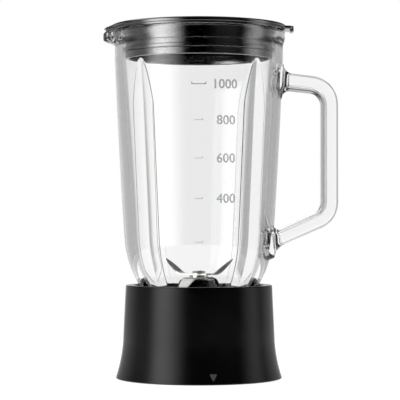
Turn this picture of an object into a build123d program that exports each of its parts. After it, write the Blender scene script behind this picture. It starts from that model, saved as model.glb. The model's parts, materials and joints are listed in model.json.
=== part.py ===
"""Jug unit of a countertop blender: glass jug, lid, blade unit and drive collar.

Millimetres. The origin is on the blade axis in the collar's bottom plane, +Z is up, the handle points
to +X, the pouring spout to -X and the measuring scale to -Y.
"""

import math
import os

from build123d import *

# ---- driving dimensions ------------------------------------------------------------------------

# drive collar
COLLAR_HEIGHT = 65.0
COLLAR_FOOT_R = 58.0
COLLAR_FLARE_TOP = 26.0
COLLAR_FLARE_TOP_R = 52.9
COLLAR_RIM_R = 51.1
COLLAR_WALL = 2.2
COLLAR_RING_R = 45.5
COLLAR_RING_BOTTOM = 57.0

# jug seat inside the collar
SOCKET_R = 47.5
SOCKET_DEPTH = 13.0
SKIRT_INNER_R = 46.5
SKIRT_R = 49.8
WEB_BOTTOM = 37.0
SEAT_FLOOR = 40.5
WEB_HOLE_R = 15.0
CUP_INNER_R = 43.6
CUP_R = 49.0
LEDGE_R = 40.5
LEDGE_BOTTOM = 53.3
BAYONET_COUNT = 3
BAYONET_ENTRY = 32.0
BAYONET_TURN = 30.0
FIRST_ENTRY_ANGLE = 90.0
PLINTH_LUG_COUNT = 4
PLINTH_LUG_SPAN = 24.0
PLINTH_LUG_DEPTH = 3.0
PLINTH_LUG_BOTTOM = 15.0
PLINTH_LUG_TOP = 18.5
SEAT_SCREW_COUNT = 4
SEAT_SCREW_CIRCLE_R = 46.0
SEAT_SCREW_R = 1.45
SCREW_HEAD_SEAT = 39.4

# glass jug
NECK_R = 39.5
NECK_BOTTOM = 46.0
NECK_TOP = 61.0
JUG_WALL = 5.9
BOWL_BOTTOM = (41.1, 64.0)
BOWL_MIDDLE = (49.3, 82.0)
BOWL_TOP = (52.2, 98.0)
BODY_MIDDLE = (55.9, 159.0)
BODY_TOP = (58.9, 222.0)
MOUTH_R = 53.9
RIM_R = 60.3
RIM_BOTTOM = 235.0
JUG_TOP = 241.7
LUG_R = 42.8
LUG_BOTTOM = 49.0
LUG_TOP = 53.0
LUG_SPAN = 24.0
RIB_ANGLES = (45.0, 135.0, 225.0, 315.0)
RIB_HALF_SPAN = 12.0
RIB_HEIGHT = 1.8
RIB_TOP = 219.0
RIB_RUN_OUT = 26.0
SPOUT_REACH = 67.0
SPOUT_LIP_R = 12.0
SPOUT_CHANNEL_R = 8.5
SPOUT_CHANNEL_BOTTOM = 228.0

# jug handle, in the plane of the handle
HANDLE_OUTER_X = 96.9
HANDLE_INNER_X = 85.1
HANDLE_BAR_WIDTH = 20.0
HANDLE_BAR_DEPTH = 8.5
HANDLE_RIB_WIDTH = 10.0
HANDLE_OUTER_BEND = 20.0
HANDLE_INNER_BEND = 9.0

# lid and filler cap
LID_R = 61.6
LID_UNDERSIDE = 242.0
LID_TOP = 246.0
LID_WELL = 244.5
LID_SKIRT_R = 53.4
LID_SKIRT_LOWER_R = 51.5
LID_SKIRT_LEDGE = 233.4
LID_SKIRT_BOTTOM = 222.0
LID_WALL = 2.4
LID_HOLE_RIM_BOTTOM = 236.0
LID_HOLE_RIM_WALL = 2.2
LID_SEAL_GROOVE_BOTTOM = 226.5
LID_SEAL_GROOVE_TOP = 229.5
LID_SEAL_GROOVE_R = LID_SKIRT_LOWER_R - 1.0
THUMB_TAB_REACH = 66.1
THUMB_TAB_BOTTOM = 243.0
THUMB_TAB_TOP = 245.2
THUMB_BEAD_HANG = 1.4
THUMB_BEAD_RISE = 0.4
SPOUT_COVER_REACH = 66.7
SPOUT_COVER_BOTTOM = 243.0
SPOUT_COVER_TOP = 244.4
CAP_HOLE_R = 22.0
CAP_SKIRT_R = 21.5
CAP_DISC_R = 27.0
CAP_TOP = 248.6
CAP_BOTTOM = 230.0
CAP_SEAL_GROOVE_R = CAP_SKIRT_R - 0.8
CAP_SEAL_BOTTOM = 238.0
CAP_SEAL_TOP = 240.0

# blade unit
FLANGE_R = 39.8
FLANGE_TOP = 43.5
DRUM_R = 32.5
HUB_R = 12.6
HUB_TOP = 69.6
BUSH_R = 7.0
BUSH_LENGTH = 8.0
UPPER_BUSH_BOTTOM = 60.0
TUBE_R = 11.5
TUBE_BOTTOM = 29.5
SEAL_R = 8.2
SHAFT_R = 4.0
SHAFT_END_R = 3.0
SHAFT_FLATS = 4.6
SHAFT_SHOULDER = 70.2
SHAFT_THREAD_R = 2.5
SHAFT_BOTTOM = 17.0
SHAFT_TOP = 75.9
RING_GROOVE_R = SHAFT_R - 0.8
RING_GROOVE_BOTTOM = 28.0
RING_GROOVE_TOP = 28.8
COUPLING_SEAT_TOP = 27.3
RUNNING_GAP = 0.03
SLIP_GAP = 0.05
SHEET = 1.0
WASHER = 0.4
BLADE_SPACER = 1.4
LOWER_BLADE_BOTTOM = SHAFT_SHOULDER + WASHER
UPPER_BLADE_BOTTOM = LOWER_BLADE_BOTTOM + SHEET + BLADE_SPACER
BLADES_TOP = UPPER_BLADE_BOTTOM + SHEET
LOCK_WASHER_TOP = BLADES_TOP + WASHER
BLADE_WIDTH = 12.0
UPPER_BLADE_ANGLE = -24.0
LOWER_BLADE_ANGLE = 55.0
COUPLING_R = 13.0
COUPLING_TEETH = 12
COUPLING_BOTTOM = 15.0
COUPLING_TOP = 27.0
INSERT_R = 6.0


# ---- helpers -----------------------------------------------------------------------------------

def half_plane(points):
    """Points given as (radius, height), in the plane through the axis."""
    return [(r, 0, z) for r, z in points]


def turned(points):
    """A body turned about the blade axis from its straight-sided section."""
    return revolve(make_face(Polyline(*half_plane(points), close=True)))


def turned_curves(*curves):
    """A body turned about the blade axis from a closed chain of lines and arcs."""
    return revolve(make_face(curves))


def line(*points):
    return Polyline(*half_plane(points))


def arc(start, middle, end):
    return ThreePointArc(*half_plane((start, middle, end)))


def ring(inner_r, outer_r, bottom, top):
    return turned([(inner_r, bottom), (outer_r, bottom), (outer_r, top), (inner_r, top)])


def sector(inner_r, outer_r, bottom, top, middle_angle, span):
    """A block of a ring, centred on an angle about the blade axis."""
    section = [(inner_r, bottom), (outer_r, bottom), (outer_r, top), (inner_r, top)]
    block = revolve(make_face(Polyline(*half_plane(section), close=True)), revolution_arc=span)
    return Rot(0, 0, middle_angle - span / 2) * block


def rod(radius, bottom, top, x=0.0, y=0.0):
    return Pos(x, y, (bottom + top) / 2) * Cylinder(radius, top - bottom)


def flatted(radius, flats, bottom, top):
    """A round bar with two flats across Y."""
    bar = rod(radius, bottom, top)
    return bar & (Pos(0, 0, (bottom + top) / 2) * Box(3 * radius, flats, top - bottom))


def inward(point, amount):
    """A (radius, height) point moved towards the axis."""
    return (point[0] - amount, point[1])


def entry_angles():
    """Middles of the gaps that the jug's lugs drop through."""
    return [FIRST_ENTRY_ANGLE + n * 360 / BAYONET_COUNT for n in range(BAYONET_COUNT)]


def seat_screw_places():
    """Where the seat screws stand, midway between the plinth lugs."""
    for n in range(SEAT_SCREW_COUNT):
        angle = math.radians((n + 0.5) * 360 / SEAT_SCREW_COUNT)
        yield SEAT_SCREW_CIRCLE_R * math.cos(angle), SEAT_SCREW_CIRCLE_R * math.sin(angle)


# ---- drive collar ------------------------------------------------------------------------------

def make_collar_shell():
    """Flared outer shell with a thick top ring that the seat is screwed to."""
    flare_middle = (54.9, 12.0)
    foot = (COLLAR_FOOT_R, 0.5)
    foot_inside = (COLLAR_FOOT_R - COLLAR_WALL, 0.0)
    flare_top = (COLLAR_FLARE_TOP_R, COLLAR_FLARE_TOP)
    edge, taper = 0.6, 0.35
    outside = line(foot_inside, (COLLAR_FOOT_R - edge, 0.0), foot)
    flare = arc(foot, flare_middle, flare_top)
    top = line(
        flare_top,
        (COLLAR_RIM_R, COLLAR_HEIGHT - edge),
        (COLLAR_RIM_R - edge, COLLAR_HEIGHT),
        (COLLAR_RING_R + edge, COLLAR_HEIGHT),
        (COLLAR_RING_R, COLLAR_HEIGHT - edge),
        (COLLAR_RING_R, COLLAR_RING_BOTTOM),
        (COLLAR_RIM_R - COLLAR_WALL + taper, COLLAR_RING_BOTTOM),
        inward(flare_top, COLLAR_WALL),
    )
    inner_flare = arc(inward(flare_top, COLLAR_WALL), inward(flare_middle, COLLAR_WALL), foot_inside)
    shell = turned_curves(outside, flare, top, inner_flare)
    hole_depth = 5.5
    for x, y in seat_screw_places():
        shell -= rod(SEAT_SCREW_R + SLIP_GAP, COLLAR_RING_BOTTOM, COLLAR_RING_BOTTOM + hole_depth, x, y)
    return shell


def make_jug_seat():
    """Carrier in the collar: plinth socket below, and above it the cup that locks the jug's lugs."""
    seat = turned([
        (SOCKET_R, 0.0),
        (SKIRT_R, 0.0),
        (SKIRT_R, SEAT_FLOOR),
        (CUP_R, SEAT_FLOOR),
        (CUP_R, COLLAR_RING_BOTTOM),
        (CUP_INNER_R, COLLAR_RING_BOTTOM),
        (CUP_INNER_R, SEAT_FLOOR),
        (WEB_HOLE_R, SEAT_FLOOR),
        (WEB_HOLE_R, WEB_BOTTOM),
        (SKIRT_INNER_R, WEB_BOTTOM),
        (SKIRT_INNER_R, SOCKET_DEPTH),
        (SOCKET_R, SOCKET_DEPTH),
    ])
    step = 360 / BAYONET_COUNT
    ledge_span = step - BAYONET_ENTRY
    half_lug = LUG_SPAN / 2
    stop_r, stop_bottom, stop_span, stop_gap = 41.2, 47.0, 3.0, 2.3
    bite = 0.5
    for angle in entry_angles():
        seat += sector(
            LEDGE_R, CUP_INNER_R + bite, LEDGE_BOTTOM, COLLAR_RING_BOTTOM, angle + step / 2, ledge_span
        )
        for stop in (half_lug + stop_gap, -BAYONET_TURN - half_lug - stop_gap):
            seat += sector(
                stop_r, CUP_INNER_R + bite, stop_bottom, LEDGE_BOTTOM + bite, angle + stop, stop_span
            )
    for n in range(PLINTH_LUG_COUNT):
        angle = n * 360 / PLINTH_LUG_COUNT
        seat += sector(
            SKIRT_INNER_R - PLINTH_LUG_DEPTH,
            SKIRT_INNER_R + bite,
            PLINTH_LUG_BOTTOM,
            PLINTH_LUG_TOP,
            angle,
            PLINTH_LUG_SPAN,
        )
    driver_r = 3.0
    for x, y in seat_screw_places():
        seat -= rod(driver_r, 0.0, SCREW_HEAD_SEAT, x, y)
        seat -= rod(SEAT_SCREW_R + 0.25, SCREW_HEAD_SEAT, COLLAR_RING_BOTTOM, x, y)
    return seat


def make_seat_screws():
    """Pan-head screws that hold the seat up against the shell's ring."""
    head_r, head_height, length = 2.6, 2.0, 22.5
    cross_length, cross_width, cross_depth = 3.6, 0.8, 1.8
    screws = []
    for x, y in seat_screw_places():
        screw = rod(head_r, SCREW_HEAD_SEAT - head_height, SCREW_HEAD_SEAT)
        screw += rod(SEAT_SCREW_R, SCREW_HEAD_SEAT, SCREW_HEAD_SEAT + length)
        for length_x, length_y in ((cross_length, cross_width), (cross_width, cross_length)):
            screw -= Pos(0, 0, SCREW_HEAD_SEAT - head_height) * Box(length_x, length_y, cross_depth)
        screws.append(Pos(x, y, 0) * screw)
    return Compound(children=[s.solid() for s in screws])


# ---- glass jug ---------------------------------------------------------------------------------

def make_jug_wall():
    """Turned wall: neck, round bowl, body that widens upwards, and a thick rim."""
    bead = 1.2
    bowl_inside = [inward(p, JUG_WALL) for p in (BOWL_BOTTOM, BOWL_MIDDLE, BOWL_TOP)]
    mouth_bottom = (MOUTH_R, BODY_TOP[1])
    outside = [
        line((NECK_R - JUG_WALL, NECK_BOTTOM), (NECK_R, NECK_BOTTOM), (NECK_R, NECK_TOP), BOWL_BOTTOM),
        arc(BOWL_BOTTOM, BOWL_MIDDLE, BOWL_TOP),
        arc(BOWL_TOP, BODY_MIDDLE, BODY_TOP),
        line(
            BODY_TOP,
            (BODY_TOP[0], RIM_BOTTOM - 3),
            (RIM_R, RIM_BOTTOM),
            (RIM_R, JUG_TOP - bead),
            (RIM_R - bead, JUG_TOP),
            (MOUTH_R + bead, JUG_TOP),
            (MOUTH_R, JUG_TOP - bead),
            mouth_bottom,
        ),
    ]
    inside = [
        arc(mouth_bottom, inward(BODY_MIDDLE, JUG_WALL), bowl_inside[2]),
        arc(bowl_inside[2], bowl_inside[1], bowl_inside[0]),
        line(bowl_inside[0], (NECK_R - JUG_WALL, NECK_TOP), (NECK_R - JUG_WALL, NECK_BOTTOM)),
    ]
    return turned_curves(*outside, *inside)


def wall_inside_radius(z):
    """Radius of the inner wall at a height, straight from one given height to the next."""
    places = [inward(p, JUG_WALL) for p in (BOWL_BOTTOM, BOWL_MIDDLE, BOWL_TOP, BODY_MIDDLE, BODY_TOP)]
    for (low_r, low_z), (high_r, high_z) in zip(places, places[1:]):
        if z <= high_z:
            return low_r + (high_r - low_r) * (z - low_z) / (high_z - low_z)
    return MOUTH_R


def make_jug_rib(angle):
    """Inside rib that turns the food back to the blades: a low ridge, pointed at its top end."""
    into_wall = 1.5
    full_top = RIB_TOP - RIB_RUN_OUT
    sections = []
    for z in (BOWL_BOTTOM[1], BOWL_MIDDLE[1], BOWL_TOP[1], BODY_MIDDLE[1], full_top, RIB_TOP):
        share = 1.0 if z <= full_top else 0.05
        back_r = wall_inside_radius(z) + into_wall
        half_width = back_r * math.sin(math.radians(RIB_HALF_SPAN * share))
        foot_r = back_r * math.cos(math.radians(RIB_HALF_SPAN * share))
        crest_r = wall_inside_radius(z) - RIB_HEIGHT * share
        corners = [(foot_r, -half_width), (back_r, 0), (foot_r, half_width), (crest_r, 0)]
        sections.append(make_face(Polyline(*[(x, y, z) for x, y in corners], close=True)))
    return Rot(0, 0, angle) * loft(sections, ruled=True)


def oblique_cone(bottom, top):
    """A cone between two level circles, each given as (x, z, radius)."""
    circles = [Pos(x, 0, z) * Circle(radius) for x, z, radius in (bottom, top)]
    return loft(circles)


def make_jug_handle():
    """D handle in one piece with the glass: a wide outer bar with a narrower rib inside it."""
    top_arm_outer = [(55.0, 219.5), (63.0, 212.3), (HANDLE_OUTER_X, 208.2)]
    low_arm_outer = [(HANDLE_OUTER_X, 109.7), (61.7, 94.2), (50.0, 84.5)]
    top_arm_inner = [(55.0, 192.5), (62.5, 200.3), (HANDLE_INNER_X, 198.1)]
    low_arm_inner = [(HANDLE_INNER_X, 117.4), (62.0, 106.6), (50.0, 109.0)]
    rib_depth = HANDLE_OUTER_X - HANDLE_INNER_X - HANDLE_BAR_DEPTH
    top_arm_step = [(55.0, 196.0), (62.5, 200.3 + rib_depth)]
    low_arm_step = [(62.0, 106.6 - rib_depth), (50.0, 106.0)]
    step_x = HANDLE_OUTER_X - HANDLE_BAR_DEPTH
    step = top_arm_step + [(step_x, 198.1 + rib_depth), (step_x, 117.4 - rib_depth)] + low_arm_step
    outer = top_arm_outer + low_arm_outer
    inner = top_arm_inner + low_arm_inner
    foot_bend = 6.0

    def path(points, bend):
        return FilletPolyline(*half_plane(points), radius=[foot_bend, bend, bend, foot_bend])

    def slab(front, back, width):
        ends = [
            Line(half_plane([front[0]])[0], half_plane([back[0]])[0]),
            Line(half_plane([front[-1]])[0], half_plane([back[-1]])[0]),
        ]
        bends = (HANDLE_OUTER_BEND, HANDLE_INNER_BEND)
        face = make_face([path(front, bends[0]), path(back, bends[1]), *ends])
        return extrude(face, width / 2, dir=(0, 1, 0), both=True)

    bar = slab(outer, step, HANDLE_BAR_WIDTH)
    rib = slab(outer, inner, HANDLE_RIB_WIDTH)
    return bar + rib


def make_glass_jug():
    jug = make_jug_wall()
    for angle in RIB_ANGLES:
        jug += make_jug_rib(angle)
    for angle in entry_angles():
        jug += sector(NECK_R - 1, LUG_R, LUG_BOTTOM, LUG_TOP, angle, LUG_SPAN)
    lip_x = SPOUT_LIP_R - SPOUT_REACH
    jug += rod(SPOUT_LIP_R, RIM_BOTTOM, JUG_TOP, lip_x)
    channel_bottom = (-46.0, SPOUT_CHANNEL_BOTTOM, 6.0)
    channel_top = (lip_x + 0.5, JUG_TOP, SPOUT_CHANNEL_R)
    jug -= oblique_cone(channel_bottom, channel_top)
    jug -= rod(MOUTH_R, BODY_TOP[1], JUG_TOP)
    return jug + make_jug_handle()


def make_jug_gasket():
    """Flat ring that the glass rim stands on."""
    return ring(NECK_R - JUG_WALL + 0.2, NECK_R - 0.2, FLANGE_TOP, NECK_BOTTOM)


# ---- lid and filler cap ------------------------------------------------------------------------

def make_lid():
    edge = 0.8
    lower_inside = LID_SKIRT_LOWER_R - LID_WALL
    lid = turned([
        (CAP_HOLE_R, LID_HOLE_RIM_BOTTOM),
        (CAP_HOLE_R + LID_HOLE_RIM_WALL, LID_HOLE_RIM_BOTTOM),
        (CAP_HOLE_R + LID_HOLE_RIM_WALL, LID_UNDERSIDE),
        (LID_SKIRT_R - LID_WALL, LID_UNDERSIDE),
        (LID_SKIRT_R - LID_WALL, LID_SKIRT_LEDGE + 2),
        (lower_inside, LID_SKIRT_LEDGE + 1),
        (lower_inside, LID_SKIRT_BOTTOM),
        (LID_SKIRT_LOWER_R, LID_SKIRT_BOTTOM),
        (LID_SKIRT_LOWER_R, LID_SEAL_GROOVE_BOTTOM),
        (LID_SEAL_GROOVE_R, LID_SEAL_GROOVE_BOTTOM),
        (LID_SEAL_GROOVE_R, LID_SEAL_GROOVE_TOP),
        (LID_SKIRT_LOWER_R, LID_SEAL_GROOVE_TOP),
        (LID_SKIRT_LOWER_R, LID_SKIRT_LEDGE),
        (LID_SKIRT_R, LID_SKIRT_LEDGE),
        (LID_SKIRT_R, LID_UNDERSIDE),
        (LID_R - edge, LID_UNDERSIDE),
        (LID_R, LID_UNDERSIDE + edge),
        (LID_R, LID_TOP - 1.2),
        (LID_R - 1.2, LID_TOP),
        (LID_R - 4, LID_TOP),
        (LID_R - 6, LID_WELL),
        (CAP_HOLE_R, LID_WELL),
    ])
    return lid + make_thumb_tab() + make_spout_cover()


def tab(near_x, far_x, width, bottom, top, corner):
    """A level plate that sticks out of the lid's flange, with two rounded corners."""
    plate = Rectangle(abs(far_x - near_x), width)
    outer_corners = plate.vertices().group_by(Axis.X)[-1]
    plate = fillet(outer_corners, corner)
    turn = Rot(0, 0, 180) if far_x < near_x else Rot(0, 0, 0)
    return Pos((near_x + far_x) / 2, 0, bottom) * (turn * extrude(plate, top - bottom))


def make_thumb_tab():
    """Tab over the handle, with a thicker edge for the thumb."""
    root_x, bead_depth = 58.5, 2.4
    plate = tab(root_x, THUMB_TAB_REACH, 24.0, THUMB_TAB_BOTTOM, THUMB_TAB_TOP, 5.0)
    bead_bottom = THUMB_TAB_BOTTOM - THUMB_BEAD_HANG
    bead_top = THUMB_TAB_TOP + THUMB_BEAD_RISE
    bead = tab(THUMB_TAB_REACH - bead_depth, THUMB_TAB_REACH, 14.0, bead_bottom, bead_top, 1.0)
    return plate + bead


def make_spout_cover():
    """Thin tab over the pouring spout."""
    root_x, width, corner = -58.5, 26.0, 7.0
    return tab(root_x, -SPOUT_COVER_REACH, width, SPOUT_COVER_BOTTOM, SPOUT_COVER_TOP, corner)


def make_lid_seal():
    """Lip ring on the lid's skirt, drawn just clear of the glass."""
    lip_r = MOUTH_R - 0.4
    body_r = LID_SKIRT_LOWER_R + 0.5
    bottom = LID_SEAL_GROOVE_BOTTOM + 0.1
    top = LID_SEAL_GROOVE_TOP - 0.1
    return turned([
        (LID_SEAL_GROOVE_R, bottom),
        (body_r, bottom),
        (lip_r, top - 0.9),
        (lip_r, top - 0.3),
        (body_r, top),
        (LID_SEAL_GROOVE_R, top),
    ])


def make_filler_cap():
    """Cap for the filling hole, a small measuring cup when it is turned over."""
    disc_bottom = LID_WELL + 0.3
    recess = CAP_TOP - 1.4
    inner_r = CAP_SKIRT_R - 2
    cap = turned([
        (0.0, recess),
        (15.5, recess),
        (17.0, CAP_TOP),
        (CAP_DISC_R - 1, CAP_TOP),
        (CAP_DISC_R, CAP_TOP - 1),
        (CAP_DISC_R, disc_bottom),
        (CAP_SKIRT_R, disc_bottom),
        (CAP_SKIRT_R, CAP_SEAL_TOP),
        (CAP_SEAL_GROOVE_R, CAP_SEAL_TOP),
        (CAP_SEAL_GROOVE_R, CAP_SEAL_BOTTOM),
        (CAP_SKIRT_R, CAP_SEAL_BOTTOM),
        (CAP_SKIRT_R, CAP_BOTTOM),
        (inner_r, CAP_BOTTOM),
        (inner_r, recess - 2.6),
        (inner_r - 0.8, recess - 2.0),
        (0.0, recess - 2.0),
    ])
    bar_bottom = recess - 0.5
    bar_plan = fillet(Rectangle(29.0, 6.0).vertices(), 2.5)
    return cap + Pos(0, 0, bar_bottom) * extrude(bar_plan, CAP_TOP - bar_bottom)


def make_filler_cap_seal():
    return ring(CAP_SEAL_GROOVE_R, CAP_HOLE_R - 0.25, CAP_SEAL_BOTTOM + 0.1, CAP_SEAL_TOP - 0.1)


# ---- blade unit --------------------------------------------------------------------------------

def make_blade_housing():
    """Blade carrier: flange with locating tabs, raised floor, hub and lower bearing tube."""
    lower_bush_top = TUBE_BOTTOM + BUSH_LENGTH
    upper_bush_top = UPPER_BUSH_BOTTOM + BUSH_LENGTH
    shaft_clear_r = SHAFT_R + 1
    housing = turned([
        (FLANGE_R, SEAT_FLOOR),
        (FLANGE_R, FLANGE_TOP),
        (DRUM_R, FLANGE_TOP),
        (DRUM_R, 51.5),
        (DRUM_R - 2, 53.5),
        (17.0, 56.5),
        (13.4, 59.0),
        (HUB_R, 64.5),
        (HUB_R - 0.5, 66.5),
        (HUB_R - 1.2, 66.7),
        (HUB_R - 1.7, HUB_TOP),
        (SEAL_R, HUB_TOP),
        (SEAL_R, upper_bush_top),
        (BUSH_R, upper_bush_top),
        (BUSH_R, UPPER_BUSH_BOTTOM),
        (shaft_clear_r, UPPER_BUSH_BOTTOM),
        (shaft_clear_r, lower_bush_top),
        (BUSH_R, lower_bush_top),
        (BUSH_R, TUBE_BOTTOM),
        (TUBE_R, TUBE_BOTTOM),
        (TUBE_R, 53.5),
        (16.5, 53.2),
        (DRUM_R - 4.5, 50.5),
        (DRUM_R - 3, 49.0),
        (DRUM_R - 3, SEAT_FLOOR),
    ])
    tab_span, tab_r = 20.0, 43.0
    for angle in entry_angles():
        housing += sector(FLANGE_R - 1, tab_r, SEAT_FLOOR, FLANGE_TOP, angle, tab_span)
    return housing


def make_bush(bottom):
    bush = ring(SHAFT_R + RUNNING_GAP, BUSH_R, bottom, bottom + BUSH_LENGTH)
    inner_ends = bush.edges().filter_by(GeomType.CIRCLE).sort_by(SortBy.RADIUS)[:2]
    return chamfer(inner_ends, 0.3)


def make_shaft_seal():
    """Seal that keeps liquid out of the upper bush."""
    bottom = UPPER_BUSH_BOTTOM + BUSH_LENGTH
    top = HUB_TOP - 0.1
    lip_r = SHAFT_R + SLIP_GAP
    return turned([
        (lip_r + 1.6, bottom),
        (SEAL_R, bottom),
        (SEAL_R, top),
        (lip_r + 0.8, top),
        (lip_r, top - 0.3),
        (lip_r, top - 0.9),
        (lip_r + 1.6, bottom + 0.4),
    ])


def make_seal_cover():
    """Pressed steel ring over the seal."""
    return ring(SHAFT_R + 0.6, HUB_R - 2.1, HUB_TOP, HUB_TOP + 0.5)


def make_blade_shaft():
    """Ground shaft: flats for the coupling below and for the blades above, then a thread."""
    shaft = rod(SHAFT_R, COUPLING_SEAT_TOP, SHAFT_SHOULDER)
    shaft -= ring(RING_GROOVE_R, SHAFT_R + 1, RING_GROOVE_BOTTOM, RING_GROOVE_TOP)
    shaft += flatted(SHAFT_END_R, SHAFT_FLATS, SHAFT_BOTTOM, COUPLING_SEAT_TOP)
    shaft += flatted(SHAFT_END_R, SHAFT_FLATS, SHAFT_SHOULDER, BLADES_TOP)
    shaft += rod(SHAFT_THREAD_R - 0.25, BLADES_TOP, SHAFT_TOP)
    return shaft - rod(1.55, SHAFT_BOTTOM, SHAFT_BOTTOM + 8)


def make_retaining_ring():
    """Open ring in the shaft's groove."""
    body = ring(RING_GROOVE_R + SLIP_GAP, SHAFT_R + 1.6, RING_GROOVE_BOTTOM + 0.05, RING_GROOVE_TOP - 0.05)
    return body - sector(0.5, SHAFT_R + 2, RING_GROOVE_BOTTOM - 1, RING_GROOVE_TOP + 1, 200, 60)


def make_upper_thrust_washer():
    return ring(SHAFT_END_R + SLIP_GAP, 7.0, SHAFT_SHOULDER, SHAFT_SHOULDER + WASHER)


def make_lower_thrust_washer():
    return ring(SHAFT_R + 0.06, 6.8, RING_GROOVE_TOP + 0.05, TUBE_BOTTOM - 0.1)


def bent_blade(bottom, run, rise, angle):
    """A sheet blade whose two pointed wings are bent by the same amount, up or down."""
    knee, tip_width, rake = 13.0, 3.0, 3.5
    direction = math.atan2(rise, run)
    shift = SHEET * math.tan(direction / 2)
    side = [
        (-knee - run, bottom + rise),
        (-knee, bottom),
        (knee, bottom),
        (knee + run, bottom + rise),
        (knee + run - SHEET * math.sin(direction), bottom + rise + SHEET * math.cos(direction)),
        (knee - shift, bottom + SHEET),
        (shift - knee, bottom + SHEET),
        (SHEET * math.sin(direction) - knee - run, bottom + rise + SHEET * math.cos(direction)),
    ]
    side_face = make_face(Polyline(*half_plane(side), close=True))
    strip = extrude(side_face, BLADE_WIDTH, dir=(0, 1, 0), both=True)
    half = BLADE_WIDTH / 2
    tip_x = knee + run
    wing = [
        (knee - 3, -half),
        (tip_x, rake - tip_width),
        (tip_x, rake),
        (knee - 3, half),
    ]
    outline = wing + [(-x, -y) for x, y in wing]
    plan = extrude(make_face(Polyline(*outline, close=True)), 60, both=True)
    blade = Rot(0, 0, angle) * (strip & Pos(0, 0, bottom) * plan)
    return blade - flatted(SHAFT_END_R + SLIP_GAP, SHAFT_FLATS + 2 * SLIP_GAP, bottom, bottom + SHEET)


def make_lower_blade():
    return bent_blade(LOWER_BLADE_BOTTOM, 11.5, -10.0, LOWER_BLADE_ANGLE)


def make_blade_spacer():
    return ring(SHAFT_END_R + SLIP_GAP, 6.5, LOWER_BLADE_BOTTOM + SHEET, UPPER_BLADE_BOTTOM)


def make_upper_blade():
    return bent_blade(UPPER_BLADE_BOTTOM, 12.2, 10.4, UPPER_BLADE_ANGLE)


def make_lock_washer():
    """Split spring washer under the nut."""
    washer = ring(SHAFT_THREAD_R + 0.15, 4.3, BLADES_TOP, LOCK_WASHER_TOP)
    return washer - sector(0.5, 6, BLADES_TOP - 1, LOCK_WASHER_TOP + 1, 20, 12)


def make_blade_nut():
    """Thin hexagon nut, bored to the core of its thread."""
    across_flats, height = 8.0, 1.3
    hexagon = RegularPolygon(across_flats / 2, 6, major_radius=False)
    nut = Pos(0, 0, LOCK_WASHER_TOP) * extrude(hexagon, height)
    nut &= turned([
        (0, LOCK_WASHER_TOP),
        (across_flats / 2 + 0.7, LOCK_WASHER_TOP),
        (across_flats / 2 + 0.7, LOCK_WASHER_TOP + height - 0.45),
        (across_flats / 2 - 0.1, LOCK_WASHER_TOP + height),
        (0, LOCK_WASHER_TOP + height),
    ])
    return nut - rod(SHAFT_THREAD_R - 0.25, LOCK_WASHER_TOP, LOCK_WASHER_TOP + height)


def make_drive_coupling():
    """Rubber coupling with teeth round it, under a closed top disc."""
    tooth_depth, tooth_width, disc = 3.2, 3.0, 2.5
    coupling = rod(COUPLING_R - tooth_depth, COUPLING_BOTTOM, COUPLING_TOP)
    for n in range(COUPLING_TEETH):
        tooth = Box(tooth_depth + 1, tooth_width, COUPLING_TOP - COUPLING_BOTTOM)
        place = Pos(COUPLING_R - (tooth_depth + 1) / 2 - 0.12, 0, (COUPLING_TOP + COUPLING_BOTTOM) / 2)
        coupling += Rot(0, 0, n * 360 / COUPLING_TEETH) * (place * tooth)
    coupling += rod(COUPLING_R, COUPLING_TOP - disc, COUPLING_TOP)
    return coupling - rod(INSERT_R + SLIP_GAP, COUPLING_BOTTOM, COUPLING_TOP)


def make_coupling_insert():
    """Brass hub moulded in the coupling, with the shaft's flats inside."""
    hub = rod(INSERT_R, SHAFT_BOTTOM, COUPLING_TOP)
    return hub - flatted(SHAFT_END_R + SLIP_GAP, SHAFT_FLATS + 2 * SLIP_GAP, SHAFT_BOTTOM, COUPLING_TOP)


def make_coupling_screw():
    """Screw and its flange that hold the coupling on the shaft's end."""
    flange_r, flange_height = 5.2, 0.8
    head_r, head_height = 3.0, 1.0
    screw_r, length = 1.5, 7.0
    flange_bottom = SHAFT_BOTTOM - flange_height
    head_bottom = flange_bottom - head_height
    screw = rod(flange_r, flange_bottom, SHAFT_BOTTOM)
    screw += rod(head_r, head_bottom, flange_bottom)
    screw += rod(screw_r, SHAFT_BOTTOM, SHAFT_BOTTOM + length)
    return screw - Pos(0, 0, head_bottom) * Box(4.5, 0.9, 1.4)


# ---- one file for each sub-part ----------------------------------------------------------------

NODES = {
    "collar_shell": make_collar_shell,
    "jug_seat": make_jug_seat,
    "seat_screws": make_seat_screws,
    "glass_jug": make_glass_jug,
    "jug_gasket": make_jug_gasket,
    "lid": make_lid,
    "lid_seal": make_lid_seal,
    "filler_cap": make_filler_cap,
    "filler_cap_seal": make_filler_cap_seal,
    "blade_housing": make_blade_housing,
    "upper_bush": lambda: make_bush(UPPER_BUSH_BOTTOM),
    "lower_bush": lambda: make_bush(TUBE_BOTTOM),
    "shaft_seal": make_shaft_seal,
    "seal_cover": make_seal_cover,
    "blade_shaft": make_blade_shaft,
    "retaining_ring": make_retaining_ring,
    "upper_thrust_washer": make_upper_thrust_washer,
    "lower_thrust_washer": make_lower_thrust_washer,
    "lower_blade": make_lower_blade,
    "blade_spacer": make_blade_spacer,
    "upper_blade": make_upper_blade,
    "lock_washer": make_lock_washer,
    "blade_nut": make_blade_nut,
    "drive_coupling": make_drive_coupling,
    "coupling_insert": make_coupling_insert,
    "coupling_screw": make_coupling_screw,
}

os.makedirs("parts", exist_ok=True)
for name, make in NODES.items():
    export_step(make(), f"parts/{name}.step")
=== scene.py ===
"""Blender jug unit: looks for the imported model. Lengths are in millimetres until they reach a mesh."""

import json
import math

import bmesh
import bpy
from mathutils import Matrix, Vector, noise


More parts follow.
